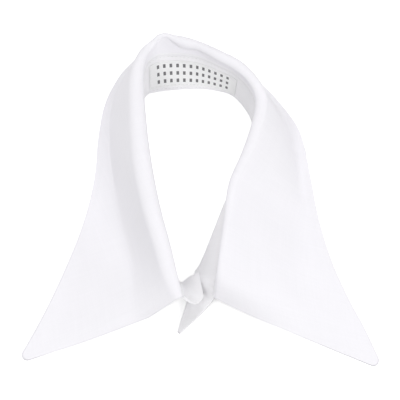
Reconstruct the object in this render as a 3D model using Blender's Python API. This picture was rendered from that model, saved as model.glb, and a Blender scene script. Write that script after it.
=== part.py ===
# A detachable shirt collar, buttoned, resting on its two points, its band and its back rim.
# X runs across the collar, +Y towards its back and +Z up. Sizes are in millimetres until a mesh
# is made, which is in metres.
import math
from collections import namedtuple

import bmesh
import bpy
from mathutils import Matrix, Vector
from mathutils.bvhtree import BVHTree

MM = 0.001
CENTRE_X = 0.17
CENTRE_Y = -0.5

WALL = 1.5
SEAM_GAP = 0.4
REST_GAP = 0.05
BAND_HEIGHT = 27.0
BAND_FRONT = 24.5
BAND_TAPER = 60.0

POINT_RADIUS = 3.4
POINT_FAN = 5
POINT_NECK = 3.0
LEAF_PITCH = 6.2
TONGUE_PITCH = 2.0
TAB_PITCH = 5.0
BAND_ROWS = 5
SAG_ROWS = 2
ROLL_ROWS = 7
FALL_ROWS = 9
FLAT_ROWS = 3
GROUND_SHARE = 0.6
FOLD_SQUASH = 0.72
FALL_START = 0.55
FALL_END = 0.6

TONGUE_CORNER = 9.0
TAB_SLANT = 40.0
TAB_BLUNT = 0.08

LABEL_WIDTH = 64.0
LABEL_WALL = 1.0
LABEL_LOW = 0.12
LABEL_HIGH = 0.80

BUTTON_RADIUS = 5.5
BUTTON_WALL = 2.2
BUTTON_DISH = 0.7
BUTTON_RIM = 1.3
BUTTON_HOLE = 0.8
BUTTON_HOLE_SPREAD = 1.7
BUTTON_SIDES = 40
BUTTON_FROM_END = 25.0
BUTTON_UP = 0.62
BUTTONHOLE_LENGTH = 11.5
BUTTONHOLE_WIDTH = 2.8
SHANK_RADIUS = 0.9
SHANK_SIDES = 12

# One row for each section of the collar, from the left corner of the leaf round the neck to the
# right one. top is the band's upper edge in plan and foot its lower edge; how high the top stands
# follows from the band's height. lift raises the foot, and belly curves the band away from the
# neck. rise is the leaf's upright part above the seam, roll the radius of its fold, and sag how far
# the fold first bends back over the neck, in degrees. steep is the slope just outside the fold and
# land the slope where the fall comes down. rim is the leaf's outer edge in plan, flat the straight
# run up to that edge, meet the slope of that run and rim_z the edge's height. bow is how far the
# line from the fold to the rim curves in plan.
Section = namedtuple(
    "Section",
    "top_x top_y foot_x foot_y lift belly rise roll sag steep land rim_x rim_y flat meet rim_z bow",
)
SECTIONS = [
    Section(-10.4, -71.6, -11.0, -56.4, 2.2, 0, 0.6, 3.0, 6, 36, 12, -112.0, -108.0, 76, 11, 0, -0.9),
    Section(-13.4, -62.0, -14.6, -53.0, 1.0, 0, 1.0, 4.4, 10, 52, 14, -98.6, -82.0, 58, 13, 0, -0.8),
    Section(-18.4, -43.5, -20.0, -42.0, 0.0, 0, 1.4, 4.9, 15, 70, 15, -85.2, -51.0, 42, 13, 0, 0),
    Section(-25.6, -16.0, -27.0, -16.0, 0.0, 0, 1.8, 5.3, 15, 75, 22, -73.4, -17.4, 23, 9, 0, 0),
    Section(-31.6, 16.0, -33.4, 16.0, 0.0, 0, 2.0, 5.6, 15, 70, 46, -66.8, 14.0, 12, 2, 0, 0),
    Section(-35.0, 46.0, -36.6, 45.0, 0.0, 0, 2.0, 4.9, 15, 68, 62, -64.6, 45.6, 7, 0, 0, 0),
    Section(-36.4, 72.0, -38.0, 66.0, 0.0, 0, 2.4, 3.9, 12, 71, 64, -59.8, 70.0, 5, 12, 0.3, 0),
    Section(-33.8, 84.8, -33.8, 73.8, 0.0, 0, 3.4, 2.6, 15, 76, 72, -50.0, 88.0, 5, 35, 0.6, 0),
    Section(-28.6, 90.6, -27.6, 75.4, 0.0, 0, 5.1, 1.9, 34, 80, 76, -37.0, 102.0, 4, 70, 1.0, 0),
    Section(-25.2, 92.0, -24.0, 76.0, 0.0, 0, 9.3, 1.2, 44, 80, 78, -31.6, 105.4, 4, 74, 1.0, 0),
    Section(-20.8, 92.6, -20.0, 76.4, 0.0, 0, 10.0, 1.1, 46, 82, 78, -26.0, 107.0, 4, 74, 1.0, 0),
    Section(-16.2, 92.5, -15.8, 76.8, 0.0, 0, 5.6, 2.2, 64, 84, 78, -19.4, 106.4, 4, 76, 1.0, 0),
    Section(-10.6, 91.8, -10.6, 77.2, 0.0, 0, 1.9, 3.4, 70, 84, 78, -12.5, 104.5, 4, 76, 1.0, 0),
    Section(-1.0, 89.2, -1.6, 77.6, 0.0, 0, 3.4, 2.5, 68, 84, 78, 1.2, 101.0, 4, 76, 1.0, 0),
    Section(11.2, 82.6, 10.0, 76.6, 0.0, 0, 3.0, 3.0, 62, 84, 78, 16.0, 94.0, 4, 76, 1.0, 0),
    Section(22.6, 75.8, 21.0, 73.0, 0.0, 0, 2.8, 3.2, 54, 82, 76, 29.6, 86.6, 4, 70, 1.0, 0),
    Section(31.4, 65.9, 29.4, 63.4, 0.0, 0, 4.0, 2.8, 46, 74, 70, 42.6, 76.6, 5, 40, 0.6, 0),
    Section(35.4, 54.0, 34.0, 52.4, 0.0, 0, 3.0, 3.4, 22, 60, 74, 56.6, 59.6, 6, 15, 0.3, 0),
    Section(32.6, 38.0, 33.0, 38.0, 0.0, 0, 3.0, 3.8, 10, 50, 72, 65.0, 43.0, 7, 0, 0, 0),
    Section(26.4, 18.0, 26.2, 18.6, 0.0, 0.8, 2.8, 3.6, 8, 44, 56, 70.2, 13.4, 8, 0, 0, 0),
    Section(19.0, -1.0, 16.8, 0.0, 0.0, 2.0, 2.4, 3.0, 6, 42, 34, 74.2, -12.0, 12, 0, 0, 0),
    Section(15.4, -24.0, 8.4, -22.0, 0.0, 3.2, 2.0, 2.5, 6, 38, 16, 82.0, -42.0, 20, 0, 0, 0),
    Section(12.2, -45.0, 1.2, -40.6, 0.0, 4.0, 1.6, 2.1, 6, 32, 6, 92.4, -68.0, 28, 2, 0, 0),
    Section(10.2, -59.0, -3.4, -48.6, 0.7, 3.2, 1.2, 1.8, 6, 26, 4, 101.0, -86.0, 36, 3, 0, 0),
    Section(8.8, -67.4, -9.0, -51.8, 1.2, 1.0, 0.8, 1.6, 6, 22, 2, 111.6, -111.8, 62, 2, 0, 0),
]

# The band runs on past the leaf at both ends, as a rounded tongue and a pointed tab.
Extension = namedtuple("Extension", "top_x top_y foot_x foot_y lift belly")
TONGUE = [
    Extension(3.4, -74.0, -0.4, -50.6, 5.0, 0.6),
    Extension(-4.2, -74.4, -6.0, -53.2, 4.4, 0.4),
]
TAB = [
    Extension(1.6, -77.6, -17.0, -61.2, 1.2, 0),
    Extension(-11.8, -90.6, -30.4, -74.2, 1.2, 0),
]


def smooth(knots, values, at):
    """The value at a distance along the neck, on the smooth curve through one value a section."""
    k = max(i for i in range(len(knots) - 1) if knots[i] <= at or i == 0)

    def slope(i):
        low, high = max(i - 1, 0), min(i + 1, len(knots) - 1)
        return (values[high] - values[low]) / (knots[high] - knots[low])

    span = knots[k + 1] - knots[k]
    t = (at - knots[k]) / span
    start, end = slope(k) * span, slope(k + 1) * span
    return (
        (2 * t**3 - 3 * t**2 + 1) * values[k]
        + (t**3 - 2 * t**2 + t) * start
        + (3 * t**2 - 2 * t**3) * values[k + 1]
        + (t**3 - t**2) * end
    )


BAND = TONGUE + SECTIONS + TAB
KNOTS = [0.0]
for before, after in zip(BAND, BAND[1:]):
    step = math.hypot(after.top_x - before.top_x, after.top_y - before.top_y)
    KNOTS.append(KNOTS[-1] + step)
LEAF_KNOTS = KNOTS[len(TONGUE) : len(TONGUE) + len(SECTIONS)]
LEAF_START, LEAF_END = LEAF_KNOTS[0], LEAF_KNOTS[-1]
LABEL_AT = LEAF_KNOTS[13] - 2.5


def band_value(name, at):
    return smooth(KNOTS, [getattr(row, name) for row in BAND], at)


def leaf_value(name, at):
    at = min(max(at, LEAF_START), LEAF_END)
    return smooth(LEAF_KNOTS, [getattr(row, name) for row in SECTIONS], at)


def level(angle, across):
    """The direction at an angle in degrees above a horizontal one."""
    angle = math.radians(angle)
    return across * math.cos(angle) + Vector((0, 0, math.sin(angle)))


def band_edges(at):
    """The band's foot and top at a distance along the neck, in the middle of its wall."""
    near = min(max(min(at - LEAF_START, LEAF_END - at) / BAND_TAPER, 0), 1)
    height = BAND_FRONT + (BAND_HEIGHT - BAND_FRONT) * near
    top = Vector((band_value("top_x", at), band_value("top_y", at), 0))
    foot = Vector((band_value("foot_x", at), band_value("foot_y", at), 0))
    run = min((top - foot).length, height * 0.985)
    foot.z = WALL / 2 * run / height + REST_GAP + max(band_value("lift", at), 0)
    rise = math.sqrt(height**2 - run**2)
    return foot, foot + (top - Vector((foot.x, foot.y, 0))).normalized() * run + Vector((0, 0, rise))


def band_point(at, share):
    """A point of the band's wall at a share of its height, with its belly away from the neck."""
    foot, top = band_edges(at)
    ahead = band_edges(at + 1)[1] - band_edges(at - 1)[1]
    out = (top - foot).cross(ahead).normalized()
    return foot.lerp(top, share) + out * band_value("belly", at) * 4 * share * (1 - share)


def outward(at):
    """The horizontal direction out of the neck at a distance along it."""
    ahead = band_edges(at + 1)[1] - band_edges(at - 1)[1]
    return Vector((-ahead.y, ahead.x, 0)).normalized()


def rim_path(at):
    rim_z = WALL / 2 + max(leaf_value("rim_z", at), 0)
    return Vector((leaf_value("rim_x", at), leaf_value("rim_y", at), rim_z))


def round_point(corner, tip, beyond, share):
    """A point of the arc that rounds the leaf's tip, from the front edge to the outer edge."""
    front, outer = (corner - tip).normalized(), (beyond - tip).normalized()
    half = front.angle(outer) / 2
    centre = tip + (front + outer).normalized() * POINT_RADIUS / math.sin(half)
    start = tip + front * POINT_RADIUS / math.tan(half) - centre
    end = tip + outer * POINT_RADIUS / math.tan(half) - centre
    turn = start.angle(end)
    mix = start * math.sin((1 - share) * turn) + end * math.sin(share * turn)
    return centre + mix / math.sin(turn)


def point_fan(end, inward):
    """The rulings round one tip, and how far along the neck the outer edge then starts."""
    tip, corner = rim_path(end), band_edges(end)[1]
    corner.z = tip.z
    beyond = rim_path(end + inward * POINT_NECK)
    half = (corner - tip).angle(beyond - tip) / 2
    cut = POINT_RADIUS / math.tan(half) / (beyond - tip).length
    fan = []
    for step in range(POINT_FAN + 1):
        share = step / POINT_FAN
        rim = round_point(corner, tip, beyond, share)
        fan.append((end + inward * POINT_NECK * share, rim))
    return fan, end + inward * POINT_NECK * cut


def rulings(pitch):
    """(distance along the neck, rim point) for each line of the leaf from its seam to its rim."""
    left, left_edge = point_fan(LEAF_START, 1)
    right, right_edge = point_fan(LEAF_END, -1)
    first, last = LEAF_START + POINT_NECK, LEAF_END - POINT_NECK
    count = round((last - first) / pitch)
    middle = []
    for step in range(1, count):
        share = step / count
        rim = rim_path(left_edge + (right_edge - left_edge) * share)
        middle.append((first + (last - first) * share, rim))
    return left + middle + right[::-1]


def leaf_line(at, rim):
    """The middle of the leaf's wall along one ruling, from the seam over the fold to the rim."""
    top = band_edges(at)[1]
    up, side = (top - band_point(at, 0.96)).normalized(), outward(at)
    towards = Vector((rim.x - top.x, rim.y - top.y, 0)).normalized()
    stand = math.degrees(math.atan2(up.z, up.dot(side)))
    sag, steep, roll = (leaf_value(name, at) for name in ("sag", "steep", "roll"))
    points = [top + up * SEAM_GAP, top + up * (SEAM_GAP + leaf_value("rise", at))]
    for start, end, rows in ((stand, stand + sag, SAG_ROWS), (stand + sag, -steep, ROLL_ROWS)):
        turn = (end - start) / rows
        chord = 2 * roll * math.sin(math.radians(abs(turn)) / 2)
        for row in range(rows):
            share = (row + 0.5) / rows if end < 0 else 0
            across = side.lerp(towards, share).normalized()
            step = level(start + turn * (row + 0.5), across) * chord
            step.z *= FOLD_SQUASH if end < 0 else 1
            points.append(points[-1] + step)
    outer = points[-1]
    towards = Vector((rim.x - outer.x, rim.y - outer.y, 0)).normalized()
    aside = Vector((towards.y, -towards.x, 0)) * leaf_value("bow", at)
    flat, meet = leaf_value("flat", at), max(leaf_value("meet", at), 0)
    lying, ground = level(-meet, towards), flat * GROUND_SHARE * max(1 - meet / 30, 0)
    touch = rim - towards * ground - lying * (flat - ground)
    tail = fall_points(outer, touch, towards, steep, max(leaf_value("land", at), 0))
    for row in range(FLAT_ROWS):
        run = flat * (row + 1) / FLAT_ROWS
        tail.append(touch + lying * run if run < flat - ground else rim - towards * (flat - run))
    for point in tail:
        t = (point - outer).dot(towards) / (rim - outer).dot(towards)
        point += aside * 6.75 * t * (1 - t) ** 2
    return points + tail


def fall_points(outer, touch, towards, steep, land):
    """The curve from the fold's outer side to where the leaf comes down, by its two slopes."""
    away, drop = (touch - outer).dot(towards), outer.z - touch.z
    down, land = math.tan(math.radians(steep)), math.tan(math.radians(land))
    turn = (drop - away * land) / (down - land) if abs(down - land) > 0.05 else away / 2
    turn = min(max(turn, away * 0.12), away * 0.88)
    first = outer + level(-steep, towards) * turn * FALL_START * math.hypot(1, down)
    second = touch - (towards - Vector((0, 0, land))) * (away - turn) * FALL_END
    points = []
    for row in range(FALL_ROWS):
        t = (row + 1) / FALL_ROWS
        fall = outer * (1 - t) ** 3 + first * 3 * t * (1 - t) ** 2
        points.append(fall + second * 3 * t**2 * (1 - t) + touch * t**3)
    return points


def band_line(at):
    """The middle of the band's wall at a distance along the neck, from its foot to its top."""
    low, high = 0.0, 1.0
    if at < TONGUE_CORNER:
        across = TONGUE_CORNER - at
        high -= (TONGUE_CORNER - math.sqrt(TONGUE_CORNER**2 - across**2)) / BAND_FRONT
    low = (1 - TAB_BLUNT) * max(1 - (KNOTS[-1] - at) / TAB_SLANT, 0)
    return [band_point(at, low + (high - low) * row / BAND_ROWS) for row in range(BAND_ROWS + 1)]


def wall_frame(at):
    """Along the neck, up the band and into the neck, at a distance along the band."""
    foot, top = band_edges(at)
    up = (top - foot).normalized()
    ahead = sum((e1 - e0 for e0, e1 in zip(band_edges(at - 1), band_edges(at + 1))), Vector())
    inward = ahead.cross(up).normalized()
    return up.cross(inward), up, inward


def label_line(at):
    """The middle of the label's wall, laid on the band's inner face."""
    off = wall_frame(at)[2] * (WALL / 2 + SEAM_GAP + LABEL_WALL / 2)
    rows = 4
    shares = [LABEL_LOW + (LABEL_HIGH - LABEL_LOW) * row / rows for row in range(rows + 1)]
    return [band_point(at, share) + off for share in shares]


def on_tab(at, share):
    """The place on the tab at a share of its height, with +Z pointing into the neck."""
    axes = Matrix(wall_frame(at)).transposed().to_4x4()
    return Matrix.Translation(band_point(at, share)) @ axes


def steps(start, end, pitch):
    count = round((end - start) / pitch)
    return [start + (end - start) * k / count for k in range(count + 1)]


def link(name, mesh, material):
    data = bpy.data.meshes.new(name)
    mesh.to_mesh(data)
    mesh.free()
    data.shade_smooth()
    data.materials.append(material)
    obj = bpy.data.objects.new(name, data)
    bpy.context.scene.collection.objects.link(obj)
    return obj


def grid_mesh(lines):
    mesh = bmesh.new()
    centre = Vector((CENTRE_X, CENTRE_Y, 0))
    grid = [[mesh.verts.new((point - centre) * MM) for point in line] for line in lines]
    for line, following in zip(grid, grid[1:]):
        for a, b, c, d in zip(line, line[1:], following[1:], following):
            mesh.faces.new((a, b, c, d))
    return mesh


def wall_object(name, lines, wall, material):
    """A cloth wall whose middle runs through equal lines of points."""
    obj = link(name, grid_mesh(lines), material)
    solid = obj.modifiers.new("wall", "SOLIDIFY")
    solid.thickness = wall * MM
    solid.offset = 0
    solid.use_even_offset = True
    return obj


def placed(name, mesh, frame, material):
    """A solid modelled about its own centre in millimetres, set in its place on the collar."""
    obj = link(name, mesh, material)
    for vertex in obj.data.vertices:
        vertex.co *= MM
    obj.data.set_sharp_from_angle(angle=math.radians(40))
    location = (frame.translation - Vector((CENTRE_X, CENTRE_Y, 0))) * MM
    obj.matrix_world = Matrix.Translation(location) @ frame.to_3x3().to_4x4()
    return obj


def cut(obj, name, mesh, frame, material):
    cutter = placed(name + "_cutter", mesh, frame, material)
    cutter.hide_render = True
    cutter.display_type = "WIRE"
    opening = obj.modifiers.new(name, "BOOLEAN")
    opening.operation = "DIFFERENCE"
    opening.object = cutter


def cylinder(radius, low, high, sides, middle=(0, 0)):
    mesh = bmesh.new()
    place = Matrix.Translation((*middle, (low + high) / 2))
    bmesh.ops.create_cone(
        mesh, cap_ends=True, segments=sides, radius1=radius, radius2=radius, depth=high - low, matrix=place
    )
    return mesh


def button_mesh(high):
    """A round button whose upper face, at a height, is towards the cloth; its other side is dished."""
    mesh = cylinder(BUTTON_RADIUS, high - BUTTON_WALL, high, BUTTON_SIDES)
    rims = [edge for edge in mesh.edges if len(edge.link_faces) == 2 and edge.calc_face_angle() > 1]
    bmesh.ops.bevel(mesh, geom=rims, offset=0.5, segments=2, profile=0.5, affect="EDGES", material=-1)
    face = min(mesh.faces, key=lambda face: face.calc_center_median().z)
    bmesh.ops.inset_region(mesh, faces=[face], thickness=BUTTON_RIM - 0.5)
    bmesh.ops.inset_region(mesh, faces=[face], thickness=0.5, depth=-BUTTON_DISH)
    return mesh


def tongue_above(frame):
    """How far into the neck from the tab's middle the tongue's middle lies."""
    lines = [band_line(at) for at in steps(0, LEAF_START, 3)]
    rows = len(lines[0])
    points = [point for line in lines for point in line]
    faces = []
    for k in range(len(lines) - 1):
        for row in range(rows - 1):
            a = k * rows + row
            faces.append((a, a + 1, a + 1 + rows, a + rows))
    into = frame.to_3x3() @ Vector((0, 0, 1))
    return BVHTree.FromPolygons(points, faces).ray_cast(frame.translation + into * WALL, into)[3] + WALL


def principled(name, colour, roughness):
    material = bpy.data.materials.new(name)
    material.use_nodes = True
    shader = material.node_tree.nodes["Principled BSDF"]
    shader.inputs["Base Color"].default_value = (*colour, 1)
    shader.inputs["Roughness"].default_value = roughness
    return material


for old in list(bpy.data.objects):
    bpy.data.objects.remove(old)

cotton = principled("white_cotton", (0.86, 0.86, 0.88), 0.9)
tape = principled("label_tape", (0.84, 0.84, 0.84), 0.8)
pearl = principled("white_button", (0.88, 0.88, 0.86), 0.25)
thread = principled("white_thread", (0.84, 0.84, 0.84), 0.8)

leaf_lines = rulings(LEAF_PITCH)
leaf = wall_object("collar_leaf", [leaf_line(*line) for line in leaf_lines], WALL, cotton)
band_ats = steps(0, LEAF_START, TONGUE_PITCH) + [at for at, rim in leaf_lines[1:-1]]
band_ats += steps(LEAF_END, KNOTS[-1], TAB_PITCH)
band = wall_object("collar_band", [band_line(at) for at in band_ats], WALL, cotton)

label_ats = [at for at in band_ats if abs(at - LABEL_AT) < LABEL_WIDTH / 2]
label = wall_object("neck_label", [label_line(at) for at in label_ats], LABEL_WALL, tape)

tab = on_tab(KNOTS[-1] - BUTTON_FROM_END, BUTTON_UP)
slot = bmesh.new()
bmesh.ops.create_cube(slot, size=1)
bmesh.ops.scale(slot, vec=(BUTTONHOLE_LENGTH, BUTTONHOLE_WIDTH, WALL * 2), verts=slot.verts)
cut(band, "buttonhole", slot, tab, cotton)

button_high = -WALL / 2 - SEAM_GAP
button = placed("band_button", button_mesh(button_high), tab, pearl)
for k, (x, y) in enumerate(((1, 1), (1, -1), (-1, -1), (-1, 1))):
    middle = (x * BUTTON_HOLE_SPREAD / 1.4, y * BUTTON_HOLE_SPREAD / 1.4)
    hole = cylinder(BUTTON_HOLE, button_high - BUTTON_WALL - 1, button_high + 0.2, 12, middle)
    cut(button, f"button_hole_{k}", hole, tab, pearl)

shank_high = tongue_above(tab) - WALL / 2 - SEAM_GAP * 2
shank = cylinder(SHANK_RADIUS, button_high + SEAM_GAP, shank_high, SHANK_SIDES)
placed("button_shank", shank, tab, thread)
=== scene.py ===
# A detachable shirt collar in white cotton, buttoned and lying on its points and band.
import math
from collections import namedtuple

import bmesh
import bpy
from mathutils import Matrix, Vector


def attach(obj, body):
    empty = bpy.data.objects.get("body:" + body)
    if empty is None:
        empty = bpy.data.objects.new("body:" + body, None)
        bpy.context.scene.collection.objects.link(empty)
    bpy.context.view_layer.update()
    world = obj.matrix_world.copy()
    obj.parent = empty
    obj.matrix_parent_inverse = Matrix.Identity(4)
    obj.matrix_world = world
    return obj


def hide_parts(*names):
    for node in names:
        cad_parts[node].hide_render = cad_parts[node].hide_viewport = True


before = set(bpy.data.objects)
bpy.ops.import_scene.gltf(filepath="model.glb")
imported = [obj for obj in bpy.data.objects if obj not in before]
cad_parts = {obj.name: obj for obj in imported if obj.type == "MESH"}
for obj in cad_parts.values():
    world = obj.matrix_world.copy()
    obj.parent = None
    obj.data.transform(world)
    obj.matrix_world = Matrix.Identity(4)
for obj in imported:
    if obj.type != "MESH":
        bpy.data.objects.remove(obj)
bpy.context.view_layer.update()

mm = 0.001

# sizes in millimetres; meshes are in metres
collar = {
    "centreX": 0.17,
    "centreY": -0.5,
    "cadWall": 1.5,
    "seamGap": 0.4,
    "restGap": 0.05,
    "bandHeight": 27.0,
    "bandFront": 24.5,
    "bandTaper": 60.0,
    "pointRadius": 3.4,
    "pointFan": 8,
    "pointNeck": 3.0,
    "tongueCorner": 9.0,
    "tabSlant": 40.0,
    "tabBlunt": 0.08,
}
frameCentre = Vector((collar["centreX"], collar["centreY"], 0))

# One row a section, from the left corner of the leaf round the neck to the right one: the band's
# top and foot in plan, its lift and belly, the leaf's rise above the seam, the roll's radius, how
# far it leans back over the neck, the slope outside the fold and where it lands, the rim in plan,
# the straight run up to the rim, that run's slope, the rim's height and the line's bow in plan.
Section = namedtuple(
    "Section", "topX topY footX footY lift belly rise roll sag steep land rimX rimY flat meet rimZ bow"
)
sections = [
    Section(-10.4, -71.6, -11.0, -56.4, 2.2, 0, 0.6, 3.0, 6, 36, 12, -112.0, -108.0, 76, 11, 0, -0.9),
    Section(-13.4, -62.0, -14.6, -53.0, 1.0, 0, 1.0, 4.4, 10, 52, 14, -98.6, -82.0, 58, 13, 0, -0.8),
    Section(-18.4, -43.5, -20.0, -42.0, 0.0, 0, 1.4, 4.9, 15, 70, 15, -85.2, -51.0, 42, 13, 0, 0),
    Section(-25.6, -16.0, -27.0, -16.0, 0.0, 0, 1.8, 5.3, 15, 75, 22, -73.4, -17.4, 23, 9, 0, 0),
    Section(-31.6, 16.0, -33.4, 16.0, 0.0, 0, 2.0, 5.6, 15, 70, 46, -66.8, 14.0, 12, 2, 0, 0),
    Section(-35.0, 46.0, -36.6, 45.0, 0.0, 0, 2.0, 4.9, 15, 68, 62, -64.6, 45.6, 7, 0, 0, 0),
    Section(-36.4, 72.0, -38.0, 66.0, 0.0, 0, 2.4, 3.9, 12, 71, 64, -59.8, 70.0, 5, 12, 0.3, 0),
    Section(-33.8, 84.8, -33.8, 73.8, 0.0, 0, 3.4, 2.6, 15, 76, 72, -50.0, 88.0, 5, 35, 0.6, 0),
    Section(-28.6, 90.6, -27.6, 75.4, 0.0, 0, 5.1, 1.9, 34, 80, 76, -37.0, 102.0, 4, 70, 1.0, 0),
    Section(-25.2, 92.0, -24.0, 76.0, 0.0, 0, 9.3, 1.2, 44, 80, 78, -31.6, 105.4, 4, 74, 1.0, 0),
    Section(-20.8, 92.6, -20.0, 76.4, 0.0, 0, 10.0, 1.1, 46, 82, 78, -26.0, 107.0, 4, 74, 1.0, 0),
    Section(-16.2, 92.5, -15.8, 76.8, 0.0, 0, 5.6, 2.2, 64, 84, 78, -19.4, 106.4, 4, 76, 1.0, 0),
    Section(-10.6, 91.8, -10.6, 77.2, 0.0, 0, 1.9, 3.4, 70, 84, 78, -12.5, 104.5, 4, 76, 1.0, 0),
    Section(-1.0, 89.2, -1.6, 77.6, 0.0, 0, 3.4, 2.5, 68, 84, 78, 1.2, 101.0, 4, 76, 1.0, 0),
    Section(11.2, 82.6, 10.0, 76.6, 0.0, 0, 3.0, 3.0, 62, 84, 78, 16.0, 94.0, 4, 76, 1.0, 0),
    Section(22.6, 75.8, 21.0, 73.0, 0.0, 0, 2.8, 3.2, 54, 82, 76, 29.6, 86.6, 4, 70, 1.0, 0),
    Section(31.4, 65.9, 29.4, 63.4, 0.0, 0, 4.0, 2.8, 46, 74, 70, 42.6, 76.6, 5, 40, 0.6, 0),
    Section(35.4, 54.0, 34.0, 52.4, 0.0, 0, 3.0, 3.4, 22, 60, 74, 56.6, 59.6, 6, 15, 0.3, 0),
    Section(32.6, 38.0, 33.0, 38.0, 0.0, 0, 3.0, 3.8, 10, 50, 72, 65.0, 43.0, 7, 0, 0, 0),
    Section(26.4, 18.0, 26.2, 18.6, 0.0, 0.8, 2.8, 3.6, 8, 44, 56, 70.2, 13.4, 8, 0, 0, 0),
    Section(19.0, -1.0, 16.8, 0.0, 0.0, 2.0, 2.4, 3.0, 6, 42, 34, 74.2, -12.0, 12, 0, 0, 0),
    Section(15.4, -24.0, 8.4, -22.0, 0.0, 3.2, 2.0, 2.5, 6, 38, 16, 82.0, -42.0, 20, 0, 0, 0),
    Section(12.2, -45.0, 1.2, -40.6, 0.0, 4.0, 1.6, 2.1, 6, 32, 6, 92.4, -68.0, 28, 2, 0, 0),
    Section(10.2, -59.0, -3.4, -48.6, 0.7, 3.2, 1.2, 1.8, 6, 26, 4, 101.0, -86.0, 36, 3, 0, 0),
    Section(8.8, -67.4, -9.0, -51.8, 1.2, 1.0, 0.8, 1.6, 6, 22, 2, 111.6, -111.8, 62, 2, 0, 0),
]
# The band goes on past the leaf as a rounded tongue at one end and a pointed tab at the other.
Extension = namedtuple("Extension", "topX topY footX footY lift belly")
tongue = [Extension(3.4, -74.0, -0.4, -50.6, 5.0, 0.6), Extension(-4.2, -74.4, -6.0, -53.2, 4.4, 0.4)]
tab = [Extension(1.6, -77.6, -17.0, -61.2, 1.2, 0), Extension(-11.8, -90.6, -30.4, -74.2, 1.2, 0)]
bandRows = tongue + sections + tab

knots = [0.0]
for before, after in zip(bandRows, bandRows[1:]):
    knots.append(knots[-1] + math.hypot(after.topX - before.topX, after.topY - before.topY))
leafKnots = knots[len(tongue) : len(tongue) + len(sections)]
leafStart, leafEnd = leafKnots[0], leafKnots[-1]
bandColumns = {name: [getattr(row, name) for row in bandRows] for name in Extension._fields}
leafColumns = {name: [getattr(row, name) for row in sections] for name in Section._fields}


def smoothValue(places, values, at):
    # the value at a distance along the neck, on the smooth curve through one value a section
    k = max(i for i in range(len(places) - 1) if places[i] <= at or i == 0)

    def slope(i):
        low, high = max(i - 1, 0), min(i + 1, len(places) - 1)
        return (values[high] - values[low]) / (places[high] - places[low])

    span = places[k + 1] - places[k]
    t = (at - places[k]) / span
    start, end = slope(k) * span, slope(k + 1) * span
    return (
        (2 * t**3 - 3 * t**2 + 1) * values[k]
        + (t**3 - 2 * t**2 + t) * start
        + (3 * t**2 - 2 * t**3) * values[k + 1]
        + (t**3 - t**2) * end
    )


def bandValue(name, at):
    return smoothValue(knots, bandColumns[name], at)


def leafValue(name, at):
    return smoothValue(leafKnots, leafColumns[name], min(max(at, leafStart), leafEnd))


def ease(value):
    value = min(max(value, 0.0), 1.0)
    return value * value * (3 - 2 * value)


def level(angle, across):
    # the direction at an angle in degrees above a horizontal one
    angle = math.radians(angle)
    return across * math.cos(angle) + Vector((0, 0, math.sin(angle)))


def bandEdges(at):
    # the band's foot and top in the middle of its wall
    near = min(max(min(at - leafStart, leafEnd - at) / collar["bandTaper"], 0), 1)
    height = collar["bandFront"] + (collar["bandHeight"] - collar["bandFront"]) * near
    top = Vector((bandValue("topX", at), bandValue("topY", at), 0))
    foot = Vector((bandValue("footX", at), bandValue("footY", at), 0))
    run = min((top - foot).length, height * 0.985)
    foot.z = collar["cadWall"] / 2 * run / height + collar["restGap"] + max(bandValue("lift", at), 0)
    rise = math.sqrt(height**2 - run**2)
    return foot, foot + (top - Vector((foot.x, foot.y, 0))).normalized() * run + Vector((0, 0, rise))


def bandPoint(at, share):
    # a point of the band, which bellies away from the neck between its foot and its top
    foot, top = bandEdges(at)
    ahead = bandEdges(at + 1)[1] - bandEdges(at - 1)[1]
    out = (top - foot).cross(ahead).normalized()
    return foot.lerp(top, share) + out * bandValue("belly", at) * 4 * share * (1 - share)


def outward(at):
    ahead = bandEdges(at + 1)[1] - bandEdges(at - 1)[1]
    return Vector((-ahead.y, ahead.x, 0)).normalized()


def rimPath(at):
    rimZ = collar["cadWall"] / 2 + max(leafValue("rimZ", at), 0)
    return Vector((leafValue("rimX", at), leafValue("rimY", at), rimZ))


def roundPoint(corner, tip, beyond, share):
    # a point of the arc that rounds the leaf's tip
    radius = collar["pointRadius"]
    front, outer = (corner - tip).normalized(), (beyond - tip).normalized()
    half = front.angle(outer) / 2
    centre = tip + (front + outer).normalized() * radius / math.sin(half)
    start = tip + front * radius / math.tan(half) - centre
    end = tip + outer * radius / math.tan(half) - centre
    turn = start.angle(end)
    arm = start * math.sin((1 - share) * turn) + end * math.sin(share * turn)
    return centre + arm / math.sin(turn)


def pointFan(end, inward):
    # the lines round one tip, and where along the neck the outer edge then starts
    tip, corner = rimPath(end), bandEdges(end)[1]
    corner.z = tip.z
    beyond = rimPath(end + inward * collar["pointNeck"])
    half = (corner - tip).angle(beyond - tip) / 2
    cut = collar["pointRadius"] / math.tan(half) / (beyond - tip).length
    fan = []
    for step in range(collar["pointFan"] + 1):
        share = step / collar["pointFan"]
        fan.append((end + inward * collar["pointNeck"] * share, roundPoint(corner, tip, beyond, share)))
    return fan, end + inward * collar["pointNeck"] * cut


def rulings(pitch):
    # (distance along the neck, rim point) for each line of the leaf from its seam to its rim
    left, leftEdge = pointFan(leafStart, 1)
    right, rightEdge = pointFan(leafEnd, -1)
    first, last = leafStart + collar["pointNeck"], leafEnd - collar["pointNeck"]
    count = round((last - first) / pitch)
    middle = []
    for step in range(1, count):
        share = step / count
        rim = rimPath(leftEdge + (rightEdge - leftEdge) * share)
        middle.append((first + (last - first) * share, rim))
    return left + middle + right[::-1]


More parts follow.
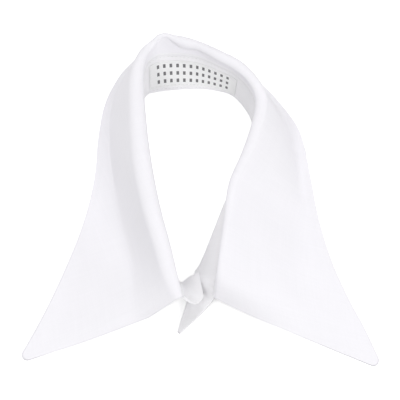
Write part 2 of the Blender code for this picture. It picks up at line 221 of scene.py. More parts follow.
def unroll(lines):
    # lays the strips between the lines flat on a table, side by side, as the piece was cut
    flats, corner, heading = [], Vector((0, 0)), Vector((0, 1))
    for k, line in enumerate(lines):
        along = [0.0]
        for start, end in zip(line, line[1:]):
            along.append(along[-1] + (end - start).length)
        if k:
            before = lines[k - 1]
            step = line[0] - before[0]
            rise = (before[3] - before[0]).normalized()
            lean = step.dot(rise)
            right = Vector((heading.y, -heading.x))
            gone = heading * lean + right * math.sqrt(max(step.length**2 - lean**2, 0))
            rim = (line[-1] - before[-1]).length
            ahead = lean + along[-1] - reach
            turn = (math.sqrt(max(rim**2 - ahead**2, 0)) - gone.dot(right)) / along[-1]
            corner = corner + gone
            heading = (heading + right * turn).normalized()
        reach = along[-1]
        flats.append([corner + heading * gone for gone in along])
    return flats


def clothMesh(lines, flats):
    # a grid whose points lie on the lines, with the flat cut as its UV map, in metres
    mesh = bmesh.new()
    columns, rows = len(lines) - 1, len(lines[0]) - 1
    bmesh.ops.create_grid(mesh, x_segments=columns, y_segments=rows, size=0.5)
    cut = mesh.loops.layers.uv.new("flatCut")
    places = {}
    for vertex in mesh.verts:
        column, row = round((vertex.co.x + 0.5) * columns), round((vertex.co.y + 0.5) * rows)
        places[vertex] = (column, row)
        vertex.co = (lines[column][row] - frameCentre) * mm
    for face in mesh.faces:
        for loop in face.loops:
            column, row = places[loop.vert]
            loop[cut].uv = flats[column][row] * mm
    mesh.normal_update()
    return mesh, places


def addPiece(name, mesh, material):
    data = bpy.data.meshes.new(name)
    mesh.to_mesh(data)
    mesh.free()
    data.shade_smooth()
    data.materials.append(material)
    piece = bpy.data.objects.new(name, data)
    bpy.context.scene.collection.objects.link(piece)
    return piece


def applyModifiers(piece):
    bpy.context.view_layer.update()
    shaped = piece.evaluated_get(bpy.context.evaluated_depsgraph_get())
    made = bpy.data.meshes.new_from_object(shaped)
    piece.modifiers.clear()
    piece.data = made


def giveWall(piece, wall, shares, edge):
    # the two faces of the cloth, as thick as each share of the wall, with its edges rounded over
    group = piece.vertex_groups.new(name="wall")
    for index, share in enumerate(shares):
        group.add([index], share, "REPLACE")
    solid = piece.modifiers.new("wall", "SOLIDIFY")
    solid.thickness = wall * mm
    solid.offset = 0
    solid.use_even_offset = True
    solid.vertex_group = "wall"
    soft = piece.modifiers.new("edge", "BEVEL")
    soft.width = edge * mm
    soft.segments = 3
    soft.limit_method = "ANGLE"
    soft.angle_limit = math.radians(60)
    applyModifiers(piece)


def newMaterial(name, colour, roughness, **values):
    material = bpy.data.materials.new(name)
    material.use_nodes = True
    shader = material.node_tree.nodes["Principled BSDF"]
    shader.inputs["Base Color"].default_value = (*colour, 1)
    shader.inputs["Roughness"].default_value = roughness
    for socket, value in values.items():
        shader.inputs[socket].default_value = value
    return material, shader


def mathNode(tree, kind, first, second=None):
    node = tree.nodes.new("ShaderNodeMath")
    node.operation = kind
    for socket, value in zip(node.inputs, (first, second)):
        if isinstance(value, (int, float)):
            socket.default_value = value
        elif value is not None:
            tree.links.new(value, socket)
    return node.outputs[0]


def noiseNode(tree, place, scale, detail, stretch=(1, 1, 1)):
    spread = tree.nodes.new("ShaderNodeMapping")
    spread.inputs["Scale"].default_value = stretch
    noise = tree.nodes.new("ShaderNodeTexNoise")
    noise.inputs["Scale"].default_value = scale
    noise.inputs["Detail"].default_value = detail
    tree.links.new(place, spread.inputs["Vector"])
    tree.links.new(spread.outputs[0], noise.inputs["Vector"])
    return noise.outputs["Fac"]


def newGroup(name, inputs, outputs):
    group = bpy.data.node_groups.new(name, "ShaderNodeTree")
    for title, kind in inputs.items():
        group.interface.new_socket(title, in_out="INPUT", socket_type=kind)
    for title, kind in outputs.items():
        group.interface.new_socket(title, in_out="OUTPUT", socket_type=kind)
    return group, group.nodes.new("NodeGroupInput"), group.nodes.new("NodeGroupOutput")


def addRelief(tree, shader, height, depth, strength=1.0):
    # a bump as deep as its depth in millimetres
    bump = tree.nodes.new("ShaderNodeBump")
    bump.inputs["Strength"].default_value = strength
    bump.inputs["Distance"].default_value = depth * mm
    tree.links.new(height, bump.inputs["Height"])
    tree.links.new(bump.outputs[0], shader.inputs["Normal"])


def tonedColour(tree, colour, tone):
    # a colour made lighter or darker by a tone near 1
    paint = tree.nodes.new("ShaderNodeVectorMath")
    paint.operation = "SCALE"
    paint.inputs[0].default_value = colour
    tree.links.new(tone, paint.inputs["Scale"])
    return paint.outputs[0]


# plain weave over a metric map: two crossing threads, slubs along both, and a cloudy tone
weave = {
    "warp": 0.26,
    "weft": 0.42,
    "warpSlubs": 900,
    "weftSlubs": 700,
    "slubStretch": 0.04,
    "clouds": 38,
    "detail": 3,
    "slubTone": 0.035,
    "cloudTone": 0.03,
    "threadShare": 0.5,
    "depth": 0.04,
    "strength": 0.35,
}
group, given, result = newGroup(
    "plainWeave",
    {"Place": "NodeSocketVector", "Coarse": "NodeSocketFloat"},
    {"Tone": "NodeSocketFloat", "Normal": "NodeSocketVector"},
)
place = given.outputs["Place"]
split = group.nodes.new("ShaderNodeSeparateXYZ")
group.links.new(place, split.inputs[0])
threads = []
for axis, size in (("X", weave["warp"]), ("Y", weave["weft"])):
    turns = mathNode(group, "MULTIPLY", split.outputs[axis], 2 * math.pi / (size * mm))
    turns = mathNode(group, "DIVIDE", turns, given.outputs["Coarse"])
    threads.append(mathNode(group, "SINE", turns))
crossing = mathNode(group, "MULTIPLY", threads[0], threads[1])
warpSlub = noiseNode(group, place, weave["warpSlubs"], weave["detail"], (1, weave["slubStretch"], 1))
weftSlub = noiseNode(group, place, weave["weftSlubs"], weave["detail"], (weave["slubStretch"], 1, 1))
cloud = noiseNode(group, place, weave["clouds"], weave["detail"])
slubs = mathNode(group, "ADD", warpSlub, weftSlub)
relief = mathNode(group, "ADD", mathNode(group, "MULTIPLY", crossing, weave["threadShare"]), slubs)
addRelief(group, result, relief, weave["depth"], weave["strength"])
slubTone = mathNode(group, "MULTIPLY", mathNode(group, "SUBTRACT", slubs, 1), weave["slubTone"])
cloudTone = mathNode(group, "MULTIPLY", mathNode(group, "SUBTRACT", cloud, 0.5), weave["cloudTone"])
tone = mathNode(group, "ADD", mathNode(group, "ADD", slubTone, cloudTone), 1)
group.links.new(tone, result.inputs["Tone"])
plainWeave = group


def weaveCloth(material, shader, colour, mapName, coarse, dark, darkColour):
    # the weave on a piece's own flat map, with a mask where it is darker
    tree = material.node_tree
    place = tree.nodes.new("ShaderNodeUVMap")
    place.uv_map = mapName
    woven = tree.nodes.new("ShaderNodeGroup")
    woven.node_tree = plainWeave
    woven.inputs["Coarse"].default_value = coarse
    tree.links.new(place.outputs[0], woven.inputs["Place"])
    tree.links.new(woven.outputs["Normal"], shader.inputs["Normal"])
    blend = tree.nodes.new("ShaderNodeMix")
    blend.data_type = "RGBA"
    blend.inputs["B"].default_value = (*darkColour, 1)
    tree.links.new(dark(tree, place.outputs[0]), blend.inputs["Factor"])
    tree.links.new(tonedColour(tree, colour, woven.outputs["Tone"]), blend.inputs["A"])
    tree.links.new(blend.outputs["Result"], shader.inputs["Base Color"])


# colour of the painted shade along edges and seams, how narrowly it gathers and how dark it gets at
# most
edgeShadePaint = {"colour": (0.42, 0.41, 0.45), "narrow": 2, "most": 0.5}


def turnedEdge(tree, place):
    # painted shade along an edge or a seam: grey mixed into the cloth's colour where its rims and the
    # seam's groove fall into shade
    edge = tree.nodes.new("ShaderNodeAttribute")
    edge.attribute_name = "turnedEdge"
    near = mathNode(tree, "POWER", edge.outputs["Fac"], edgeShadePaint["narrow"])
    return mathNode(tree, "MULTIPLY", near, edgeShadePaint["most"])


# three like rows of evenly spaced plain blocks, each row at its height, wide as a share of pitch
mark = {
    "rows": (15.0, 9.6, 4.2),
    "start": 5.0,
    "end": 59.0,
    "pitch": 4.5,
    "high": 2.6,
    "wide": 0.4,
    "specks": 1500,
    "wear": 0.3,
    "ink": (0.035, 0.035, 0.04),
}


def scaleMarks(tree, place):
    split = tree.nodes.new("ShaderNodeSeparateXYZ")
    tree.links.new(place, split.inputs[0])
    across, up = (mathNode(tree, "DIVIDE", split.outputs[axis], mm) for axis in "XY")
    along = mathNode(tree, "SUBTRACT", across, mark["start"])
    along = mathNode(tree, "FRACT", mathNode(tree, "DIVIDE", along, mark["pitch"]))
    off = mathNode(tree, "ABSOLUTE", mathNode(tree, "SUBTRACT", along, 0.5))
    blocks = mathNode(tree, "LESS_THAN", off, mark["wide"] / 2)
    started = mathNode(tree, "GREATER_THAN", across, mark["start"])
    ended = mathNode(tree, "LESS_THAN", across, mark["end"])
    blocks = mathNode(tree, "MULTIPLY", blocks, mathNode(tree, "MULTIPLY", started, ended))
    ink = 0
    for middle in mark["rows"]:
        off = mathNode(tree, "ABSOLUTE", mathNode(tree, "SUBTRACT", up, middle))
        row = mathNode(tree, "LESS_THAN", off, mark["high"] / 2)
        ink = mathNode(tree, "MAXIMUM", ink, mathNode(tree, "MULTIPLY", blocks, row))
    worn = noiseNode(tree, place, mark["specks"], 2)
    worn = mathNode(tree, "ADD", mathNode(tree, "MULTIPLY", worn, mark["wear"]), 1 - mark["wear"])
    return mathNode(tree, "MULTIPLY", ink, worn)


cotton = {"leaf": (0.86, 0.85, 0.885), "band": (0.866, 0.86, 0.878), "tape": (0.85, 0.85, 0.852)}
sheen = {"Sheen Weight": 0.03, "Sheen Roughness": 0.5}
leafWhite, shader = newMaterial("leafPoplin", cotton["leaf"], 0.9, **sheen)
weaveCloth(leafWhite, shader, cotton["leaf"], "flatCut", 1.0, turnedEdge, edgeShadePaint["colour"])
bandWhite, shader = newMaterial("bandPoplin", cotton["band"], 0.9, **sheen)
weaveCloth(bandWhite, shader, cotton["band"], "flatCut", 1.0, turnedEdge, edgeShadePaint["colour"])
tapeWhite, shader = newMaterial("tapeTwill", cotton["tape"], 0.75, **sheen)
weaveCloth(tapeWhite, shader, cotton["tape"], "flatCut", 1.6, scaleMarks, mark["ink"])

thread = {"colour": (0.84, 0.84, 0.85), "twist": 900, "depth": 0.05, "dark": 0.94, "light": 0.08}
threadWhite, shader = newMaterial("sewingThread", thread["colour"], 0.7, **sheen)
tree = threadWhite.node_tree
twist = tree.nodes.new("ShaderNodeTexWave")
twist.inputs["Scale"].default_value = thread["twist"]
twist.bands_direction = "DIAGONAL"
tree.links.new(tree.nodes.new("ShaderNodeTexCoord").outputs["Object"], twist.inputs["Vector"])
addRelief(tree, shader, twist.outputs["Fac"], thread["depth"])
tone = mathNode(tree, "MULTIPLY", twist.outputs["Fac"], thread["light"])
tone = mathNode(tree, "ADD", tone, thread["dark"])
tree.links.new(tonedColour(tree, thread["colour"], tone), shader.inputs["Base Color"])

pearl = {
    "colour": (0.86, 0.86, 0.83),
    "clouds": 260,
    "dark": 0.88,
    "light": 0.2,
    "ripples": 900,
    "depth": 0.05,
    "strength": 0.2,
}
pearlWhite, shader = newMaterial("pearlButton", pearl["colour"], 0.22, **{"Coat Weight": 0.4})
tree = pearlWhite.node_tree
place = tree.nodes.new("ShaderNodeTexCoord").outputs["Object"]
tone = mathNode(tree, "MULTIPLY", noiseNode(tree, place, pearl["clouds"], 4, (1, 1, 3)), pearl["light"])
tone = mathNode(tree, "ADD", tone, pearl["dark"])
tree.links.new(tonedColour(tree, pearl["colour"], tone), shader.inputs["Base Color"])
addRelief(tree, shader, noiseNode(tree, place, pearl["ripples"], 2), pearl["depth"], pearl["strength"])
print("materials", len(bpy.data.materials))

leafCloth = {
    "wall": 1.45,
    "field": 0.78,  # away from the rim the wall is this share, and near it so much more
    "rimMore": 0.2,
    "rimFrom": 4.0,
    "rimFade": 3.0,
    "edge": 0.38,
    "pitch": 1.6,
    "riseRows": 4,
    "sagRows": 7,
    "rollRows": 16,
    "fallRows": 26,
    "flatRows": 12,
    "pull": 0.55,
    "landing": 0.6,
    "turnRoom": 0.12,
    "bend": 10,
    "squash": 0.72,
    "ground": 0.6,  # this share of the straight run lies down where it meets the surface level
    "groundMeet": 30,
    "flatCrowd": 1.5,
    "tuck": 1.1,
    "flat": (0.1111, 0.4406),
    "area": 0.030073,
    "held": "folded",
}


def leafLine(at, rim):
    # the middle of the leaf's cloth from its seam over the fold to its rim
    top = bandEdges(at)[1]
    up, side = (top - bandPoint(at, 0.96)).normalized(), outward(at)
    towards = Vector((rim.x - top.x, rim.y - top.y, 0)).normalized()
    stand = math.degrees(math.atan2(up.z, up.dot(side)))
    sag, steep, roll = (leafValue(name, at) for name in ("sag", "steep", "roll"))
    rise = collar["seamGap"] + leafValue("rise", at)
    tuck, rows = leafCloth["tuck"], leafCloth["riseRows"]  # the foot is caught inside the band's top
    points = [top + up * ((rise + tuck) * step / rows - tuck) for step in range(rows + 1)]
    for start, end, rows in (
        (stand, stand + sag, leafCloth["sagRows"]), (stand + sag, -steep, leafCloth["rollRows"])
    ):
        turn = (end - start) / rows
        chord = 2 * roll * math.sin(math.radians(abs(turn)) / 2)
        for row in range(rows):
            across = side.lerp(towards, (row + 0.5) / rows if end < 0 else 0).normalized()
            step = level(start + turn * (row + 0.5), across) * chord
            step.z *= leafCloth["squash"] if end < 0 else 1
            points.append(points[-1] + step)
    outer = points[-1]
    towards = Vector((rim.x - outer.x, rim.y - outer.y, 0)).normalized()
    aside = Vector((towards.y, -towards.x, 0)) * leafValue("bow", at)
    flat, meet = leafValue("flat", at), max(leafValue("meet", at), 0)
    lying = level(-meet, towards)
    ground = flat * leafCloth["ground"] * max(1 - meet / leafCloth["groundMeet"], 0)
    down = rim - towards * ground  # from here out the leaf lies on the surface
    touch = down - lying * (flat - ground)
    away, drop = (touch - outer).dot(towards), outer.z - touch.z
    slope = math.tan(math.radians(steep))
    land = math.tan(math.radians(max(leafValue("land", at), 0)))
    turn = (drop - away * land) / (slope - land) if abs(slope - land) > 0.05 else away / 2
    turn = min(max(turn, away * leafCloth["turnRoom"]), away * (1 - leafCloth["turnRoom"]))
    pulls = outer + level(-steep, towards) * turn * leafCloth["pull"] * math.hypot(1, slope)
    pulls = pulls, touch - (towards - Vector((0, 0, land))) * (away - turn) * leafCloth["landing"]
    span = (rim - outer).dot(towards)
    tail = []
    for row in range(leafCloth["fallRows"]):
        t = (row + 1) / leafCloth["fallRows"]
        fall = outer * (1 - t) ** 3 + pulls[0] * 3 * t * (1 - t) ** 2
        tail.append(fall + pulls[1] * 3 * t**2 * (1 - t) + touch * t**3)
    for row in range(leafCloth["flatRows"]):
        share = (row + 1) / leafCloth["flatRows"]
        run = flat * (1 - (1 - share) ** leafCloth["flatCrowd"])
        tail.append(touch + lying * run if run < flat - ground else rim - towards * (flat - run))
    for point in tail:
        t = (point - outer).dot(towards) / span
        point += aside * 6.75 * t * (1 - t) ** 2  # 6.75 brings the bow to its full size
    return relax(points + tail, len(points) + leafCloth["fallRows"] - 1, leafCloth["bend"])


def relax(points, middle, reach):
    # softens the crease where the fall meets the flat
    for turn in range(reach):
        near = range(max(middle - reach, 1), min(middle + reach, len(points) - 2) + 1)
        eased = {k: (points[k - 1] + points[k] * 2 + points[k + 1]) / 4 for k in near}
        for k, point in eased.items():
            points[k] = point
    return points


# Soft creases, each as a trough or, where deep is negative, a ridge: its middle along the collar
# and out from the seam, as shares of the cut, the way it runs, and its size.
Crease = namedtuple("Crease", "along out turn long wide deep")
leafCreases = [
    Crease(0.13, 0.62, 70, 60, 9, 0.5),
    Crease(0.17, 0.42, 25, 46, 7, -0.45),
    Crease(0.08, 0.80, 40, 50, 10, -0.5),
    Crease(0.24, 0.74, 15, 38, 6, 0.4),
    Crease(0.33, 0.66, 8, 44, 5, 0.35),
    Crease(0.42, 0.72, -20, 34, 5, -0.4),
    Crease(0.52, 0.66, 12, 40, 5, 0.35),
    Crease(0.62, 0.70, -6, 36, 5, 0.4),
    Crease(0.71, 0.80, -35, 34, 5, 0.6),
    Crease(0.76, 0.55, -12, 48, 7, -0.4),
    Crease(0.83, 0.70, -28, 60, 9, 0.5),
    Crease(0.88, 0.45, -60, 52, 8, -0.45),
    Crease(0.92, 0.78, -40, 56, 10, 0.45),
]
bandCreases = [
    Crease(0.12, 0.50, 80, 20, 3, 0.25),
    Crease(0.30, 0.45, 86, 22, 3, 0.3),
    Crease(0.41, 0.55, 95, 20, 2.5, 0.25),
    Crease(0.57, 0.50, 92, 22, 2.5, 0.3),
    Crease(0.66, 0.45, 84, 22, 3, -0.25),
    Crease(0.84, 0.50, 100, 20, 3, 0.25),
]


def crease(lines, flats, creases):
    # moves the cloth off its own surface by each crease, whose sizes are of the flat cut
    moved = [list(line) for line in lines]
    for fold in creases:
        column = flats[round(fold.along * (len(flats) - 1))]
        middle = column[0].lerp(column[-1], fold.out)
        turn = math.radians(fold.turn)
        run = (column[-1] - column[0]).normalized()
        cos, sin = math.cos(turn), math.sin(turn)
        run = Vector((run.x * cos - run.y * sin, run.x * sin + run.y * cos))
        beside = Vector((-run.y, run.x))
        for k in range(1, len(lines) - 1):
            for row in range(2, len(lines[k]) - 1):
                away = flats[k][row] - middle
                on, off = away.dot(run) / fold.long * 2, away.dot(beside) / fold.wide
                if abs(on) < 1 and abs(off) < 2.5:
                    rimward = lines[k][row + 1] - lines[k][row - 1]
                    over = rimward.cross(lines[k + 1][row] - lines[k - 1][row])
                    depth = fold.deep * ease(1 - abs(on)) * math.exp(-off * off)
                    moved[k][row] = moved[k][row] + over.normalized() * depth
    return moved


def markEdges(piece, places, shadeAt):
    # up to 1 along the edges and seams, for the painted shade there
    edge = piece.data.attributes.new("turnedEdge", "FLOAT", "POINT")
    for index, (column, row) in places.items():
        edge.data[index].value = float(shadeAt(column, row))


def flatSize(flats):
    # the cut's longest line from seam to rim, its length along the middle, and its area, in metres
    middle = len(flats[0]) // 2
    width = max((line[-1] - line[0]).length for line in flats)
    length = sum((b[middle] - a[middle]).length for a, b in zip(flats, flats[1:]))
    area = 0
    for line, following in zip(flats, flats[1:]):
        for a, b, c, d in zip(line, line[1:], following[1:], following):
            area += abs((c - a).cross(d - b)) / 2
    return round(width * mm, 4), round(length * mm, 4), round(area * mm * mm, 6)


leafLines = [leafLine(*line) for line in rulings(leafCloth["pitch"])]
leafFlats = unroll(leafLines)
leafLines = crease(leafLines, leafFlats, leafCreases)
mesh, places = clothMesh(leafLines, leafFlats)
leafAlong = {v.index: places[v] for v in mesh.verts}
leaf = addPiece("leafCloth", mesh, leafWhite)
columns, rows = len(leafLines) - 1, len(leafLines[0]) - 1
markEdges(leaf, leafAlong, lambda column, row: column in (0, columns) or row == rows)
shares = []
for index in range(len(leaf.data.vertices)):
    column, row = leafAlong[index]
    rimward = (leafFlats[column][-1] - leafFlats[column][row]).length
    near = ease(1 - (rimward - leafCloth["rimFrom"]) / leafCloth["rimFade"])
    shares.append(leafCloth["field"] + leafCloth["rimMore"] * near)
giveWall(leaf, leafCloth["wall"], shares, leafCloth["edge"])
print("leaf", len(leaf.data.polygons), "faces, cut", flatSize(leafFlats))

bandCloth = {
    "wall": 1.4,
    "edge": 0.4,
    "pitch": 1.6,
    "cornerLines": 12,
    "rows": 18,
    "lip": 0.5,  # the seam's turnings make the top so much thicker
    "lipStart": 1.2,
    "lipFade": 1.5,
    # how dark the painted shadow just under the seam is, and where the painted shade along the tab's
    # edge starts
    "seamShadow": 0.6,
    "tabShadeFrom": 0.92,
    "flat": (0.0276, 0.4066),
    "area": 0.010165,
    "held": "laid",
}


def tabCut(at):
    # how far up the band its slanted end cuts, as a share
    return (1 - collar["tabBlunt"]) * max(1 - (knots[-1] - at) / collar["tabSlant"], 0)


def bandLine(at, rows):
    low, high = tabCut(at), 1.0
    corner = collar["tongueCorner"]
    if at < corner:
        high -= (corner - math.sqrt(corner**2 - (corner - at) ** 2)) / collar["bandFront"]
    return [bandPoint(at, low + (high - low) * row / rows) for row in range(rows + 1)]


def steps(start, end, pitch):
    count = round((end - start) / pitch)
    return [start + (end - start) * k / count for k in range(count + 1)]


corner, count = collar["tongueCorner"], bandCloth["cornerLines"]
bandAts = [corner * (1 - math.cos(turn * math.pi / (2 * count))) for turn in range(count)]
bandAts += steps(corner, knots[-1], bandCloth["pitch"])
bandLines = [bandLine(at, bandCloth["rows"]) for at in bandAts]
bandFlats = unroll(bandLines)
bandLines = crease(bandLines, bandFlats, bandCreases)
mesh, places = clothMesh(bandLines, bandFlats)
bandAlong = {v.index: places[v] for v in mesh.verts}
band = addPiece("bandCloth", mesh, bandWhite)


# painted shade along the tab's edge, and a painted shadow line just under the seam
def bandShadePaint(column, row):
    columns, rows = len(bandLines) - 1, len(bandLines[0]) - 1
    if column == columns or row == 0 and column > columns * bandCloth["tabShadeFrom"]:
        return 1  # the tab's edge
    below = row == rows - 1 and leafStart < bandAts[column] < leafEnd  # the seam
    return bandCloth["seamShadow"] * below


markEdges(band, bandAlong, bandShadePaint)
shares = []
for index in range(len(band.data.vertices)):
    column, row = bandAlong[index]
    topward = (bandFlats[column][-1] - bandFlats[column][row]).length
    near = ease(bandCloth["lipStart"] - topward / bandCloth["lipFade"])
    shares.append(1 + bandCloth["lip"] * near)
giveWall(band, bandCloth["wall"], shares, bandCloth["edge"])
print("band", len(band.data.polygons), "faces, cut", flatSize(bandFlats))


def wallFrame(at):
    # along the neck, up the band and into the neck
    foot, top = bandEdges(at)
    up = (top - foot).normalized()
    ahead = sum((e1 - e0 for e0, e1 in zip(bandEdges(at - 1), bandEdges(at + 1))), Vector())
    inward = ahead.cross(up).normalized()
    return up.cross(inward), up, inward


def onBand(at, share, off):
    # a place on the band, off its middle into the neck, with X along the neck and Z into it
    along, up, inward = wallFrame(at)
    place = Matrix((along, up, inward)).transposed().to_4x4()
    place.translation = bandPoint(at, share) + inward * off - frameCentre
    return place


stitch = {
    "long": 2.1,
    "wide": 0.42,
    "high": 0.3,
    "pitch": 2.7,
    "off": 0.04,
    "seamOff": 0.06,
    "footLine": 1.7,
    "seamLine": 2.6,
    "fromTongue": 4,
    "fromTab": 8,
    "fromSeamEnd": 1,
}


def addStitch(mesh, place, turn=0.0, long=stitch["long"]):
    # one stitch lying on the cloth, sunk a little at both ends
    size = Matrix.Diagonal((long / 2, stitch["wide"] / 2, stitch["high"] / 2, 1))
    place = place @ Matrix.Rotation(turn, 4, "Z") @ size
    bmesh.ops.create_icosphere(mesh, subdivisions=1, radius=1, matrix=place)


def scaled(mesh):
    bmesh.ops.scale(mesh, vec=(mm, mm, mm), verts=mesh.verts)
    return mesh


mesh = bmesh.new()
halfWall, height = bandCloth["wall"] / 2, collar["bandHeight"]
seamEnds = leafStart + stitch["fromSeamEnd"], leafEnd - stitch["fromSeamEnd"]
for at in steps(stitch["fromTongue"], knots[-1] - stitch["fromTab"], stitch["pitch"]):
    low = tabCut(at)
    for side in (1, -1):
        footShare = low + (1 - low) * stitch["footLine"] / height
        addStitch(mesh, onBand(at, footShare, (halfWall + stitch["off"]) * side))
        if seamEnds[0] < at < seamEnds[1]:
            seamShare = 1 - stitch["seamLine"] / height
            addStitch(mesh, onBand(at, seamShare, (halfWall + stitch["seamOff"]) * side))
bandStitches = addPiece("bandStitches", scaled(mesh), threadWhite)
print("band stitches", len(bandStitches.data.polygons), "faces")

tape = {
    "section": 13,
    "aside": 2.5,
    "wide": 64.0,
    "low": 0.12,
    "high": 0.80,
    "wall": 0.45,
    "pitch": 1.6,
    "rows": 12,
    "off": 0.12,
    "edge": 0.12,
    "endStitch": 1.8,
    "endInset": 1.4,
    "endShare": 0.05,
    "endPitch": 2.3,
    "sideStitch": 1.9,
    "sideInset": 2.6,
    "sideShare": 0.035,
    "flat": (0.0184, 0.064),
    "area": 0.001175,
    "held": "laid",
}
labelAt = leafKnots[tape["section"]] - tape["aside"]
tapeAts = steps(labelAt - tape["wide"] / 2, labelAt + tape["wide"] / 2, tape["pitch"])
tapeTall = (tape["high"] - tape["low"]) * height
tapeRows = range(tape["rows"] + 1)
shares = [tape["low"] + (tape["high"] - tape["low"]) * row / tape["rows"] for row in tapeRows]
tapeLines, tapeFlats = [], []
for at in tapeAts:
    off = wallFrame(at)[2] * (halfWall + tape["off"] + tape["wall"] / 2)
    tapeLines.append([bandPoint(at, share) + off for share in shares])
    tapeFlats.append([Vector((at - tapeAts[0], tapeTall * row / tape["rows"])) for row in tapeRows])
mesh, places = clothMesh(tapeLines, tapeFlats)
label = addPiece("neckTape", mesh, tapeWhite)
giveWall(label, tape["wall"], [1] * len(label.data.vertices), tape["edge"])
print("tape", len(label.data.polygons), "faces, cut", flatSize(tapeFlats))

mesh = bmesh.new()
high = halfWall + tape["off"] + tape["wall"] + stitch["off"]
low, top = tape["low"] + tape["endShare"], tape["high"] - tape["endShare"]
for at in (tapeAts[0] + tape["endInset"], tapeAts[-1] - tape["endInset"]):
    for share in steps(low, top, tape["endPitch"] / height):
        addStitch(mesh, onBand(at, share, high), math.pi / 2, tape["endStitch"])
for at in steps(tapeAts[0] + tape["sideInset"], tapeAts[-1] - tape["sideInset"], stitch["pitch"]):
    for share in (tape["low"] + tape["sideShare"], tape["high"] - tape["sideShare"]):
        addStitch(mesh, onBand(at, share, high), 0, tape["sideStitch"])
tapeStitches = addPiece("tapeStitches", scaled(mesh), threadWhite)
print("tape stitches", len(tapeStitches.data.polygons), "faces")

button = {
    "fromEnd": 25.0,
    "up": 0.62,
    "wall": 2.2,
    "spread": 1.7,
    "crossOff": 0.35,
    "crossHigh": 0.75,
    "crossMore": 1.2,
    "slotLong": 9.0,
    "slotWide": 2.1,
    "slotDeep": 6.0,
    "slotStitch": 1.6,
    "slotPitch": 0.75,
    "slotOff": 0.7,
    "barHalf": 1.6,
}
buttonAt = knots[-1] - button["fromEnd"]
tabPlace = onBand(buttonAt, button["up"], 0)
slotSize = button["slotLong"], button["slotWide"], button["slotDeep"], 1
mesh = bmesh.new()
bmesh.ops.create_cube(mesh, size=1, matrix=tabPlace @ Matrix.Diagonal(slotSize))
cutter = addPiece("buttonholeCutter", scaled(mesh), threadWhite)
opening = band.modifiers.new("buttonhole", "BOOLEAN")
opening.object = cutter
opening.solver = "EXACT"
applyModifiers(band)
bpy.data.objects.remove(cutter)

mesh = bmesh.new()
halfLong, beside = button["slotLong"] / 2, button["slotWide"] / 2 + button["slotOff"]
for side in (1, -1):
    high = (halfWall + stitch["off"]) * side
    for edge in (1, -1):
        for x in steps(-halfLong, halfLong, button["slotPitch"]):
            place = Matrix.Translation((x, edge * beside, high))
            addStitch(mesh, tabPlace @ place, math.pi / 2, button["slotStitch"])
        for y in steps(-button["barHalf"], button["barHalf"], button["slotPitch"]):
            place = Matrix.Translation((edge * (halfLong + button["slotOff"]), y, high))
            addStitch(mesh, tabPlace @ place, 0, button["slotStitch"])
buttonholeStitches = addPiece("buttonholeStitches", scaled(mesh), threadWhite)

mesh = bmesh.new()
below = -collar["cadWall"] / 2 - collar["seamGap"] - button["wall"] + button["crossHigh"]
for turn in (45, 135):
    for off in (-button["crossOff"], button["crossOff"]):
        place = Matrix.Rotation(math.radians(turn), 4, "Z") @ Matrix.Translation((0, off, below))
        addStitch(mesh, tabPlace @ place, 0, button["spread"] * 2 + button["crossMore"])
buttonThread = addPiece("buttonThread", scaled(mesh), threadWhite)
print("buttonhole and button thread", len(buttonholeStitches.data.polygons), "faces")

for name, material in (("band_button", pearlWhite), ("button_shank", threadWhite)):
    for slot in bpy.data.objects[name].material_slots:
        slot.material = material

for piece, nodes, slotName in (
    (leaf, ["collar_leaf"], "leaf_cotton"),
    (band, ["collar_band"], "band_cotton"),
    (label, ["neck_label"], "label_tape"),
    (bandStitches, [], "thread"),
    (tapeStitches, [], "thread"),
    (buttonholeStitches, [], "thread"),
    (buttonThread, [], "thread"),
):
    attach(piece, "root")
    if nodes:
        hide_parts(*nodes)

studio = {"floorWhite": 0.85, "floorGlow": 0.5, "sky": 0.412, "away": 1.4, "softbox": 0.7}
# direction round the collar from its front, height angle and power of each softbox
Softbox = namedtuple("Softbox", "name round high power")
softboxes = [
    Softbox("frontRight", 45, 50, 6.2),
    Softbox("frontLeft", 315, 50, 5.4),
    Softbox("behind", 180, 50, 3.3),
    Softbox("right", 90, 25, 3.2),
    Softbox("behindLeft", 225, 25, 2.9),
]


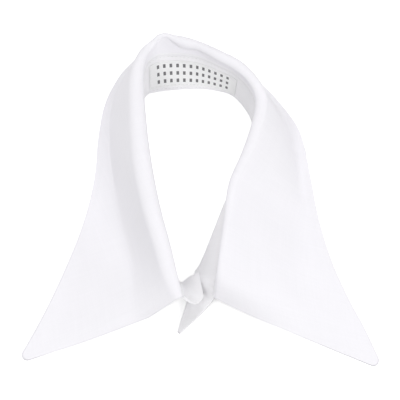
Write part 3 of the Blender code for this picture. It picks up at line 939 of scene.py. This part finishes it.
def whiteToCamera(tree, surface, output, glowKind):
    # what is seen directly is lifted to clean white; what it lights is not
    path = tree.nodes.new("ShaderNodeLightPath")
    glow = tree.nodes.new(glowKind)
    glow.inputs["Color"].default_value = (1, 1, 1, 1)
    lift = mathNode(tree, "MULTIPLY", path.outputs["Is Camera Ray"], studio["floorGlow"])
    tree.links.new(lift, glow.inputs["Strength"])
    both = tree.nodes.new("ShaderNodeAddShader")
    tree.links.new(surface, both.inputs[0])
    tree.links.new(glow.outputs[0], both.inputs[1])
    tree.links.new(both.outputs[0], output.inputs["Surface"])


mesh = bmesh.new()
bmesh.ops.create_grid(mesh, x_segments=1, y_segments=1, size=8)
floorPaint, floorShader = newMaterial("paleFloor", (studio["floorWhite"],) * 3, 0.9)
tree = floorPaint.node_tree
whiteToCamera(tree, floorShader.outputs[0], tree.nodes["Material Output"], "ShaderNodeEmission")
floor = addPiece("floor", mesh, floorPaint)

world = bpy.data.worlds.new("softRoom")
bpy.context.scene.world = world
world.use_nodes = True
sky = world.node_tree.nodes["Background"]
sky.inputs["Color"].default_value = (1, 1, 1, 1)
sky.inputs["Strength"].default_value = studio["sky"]
tree = world.node_tree
whiteToCamera(tree, sky.outputs[0], tree.nodes["World Output"], "ShaderNodeBackground")

for box in softboxes:
    lamp = bpy.data.lights.new(box.name, "AREA")
    lamp.shape = "DISK"
    lamp.size = studio["softbox"]
    lamp.energy = box.power
    light = bpy.data.objects.new(box.name, lamp)
    bpy.context.scene.collection.objects.link(light)
    turn, high = math.radians(box.round), math.radians(box.high)
    across = Vector((math.sin(turn), -math.cos(turn), 0)) * math.cos(high)
    light.location = (across + Vector((0, 0, math.sin(high)))) * studio["away"]
    light.rotation_euler = light.location.to_track_quat("Z", "Y").to_euler()

view = {"lens": 157.1, "sensor": 36, "look": (-0.00017, 0.0005, 0), "tilt": 68, "away": 1.1}
lens = bpy.data.cameras.new("camera")
lens.lens = view["lens"]
lens.sensor_width = view["sensor"]
camera = bpy.data.objects.new("camera", lens)
bpy.context.scene.collection.objects.link(camera)
look, tilt = Vector(view["look"]), math.radians(view["tilt"])
camera.location = look + Vector((0, -math.cos(tilt), math.sin(tilt))) * view["away"]
camera.rotation_euler = (look - camera.location).to_track_quat("-Z", "Y").to_euler()
bpy.context.scene.camera = camera
bpy.context.scene.view_settings.view_transform = "Standard"
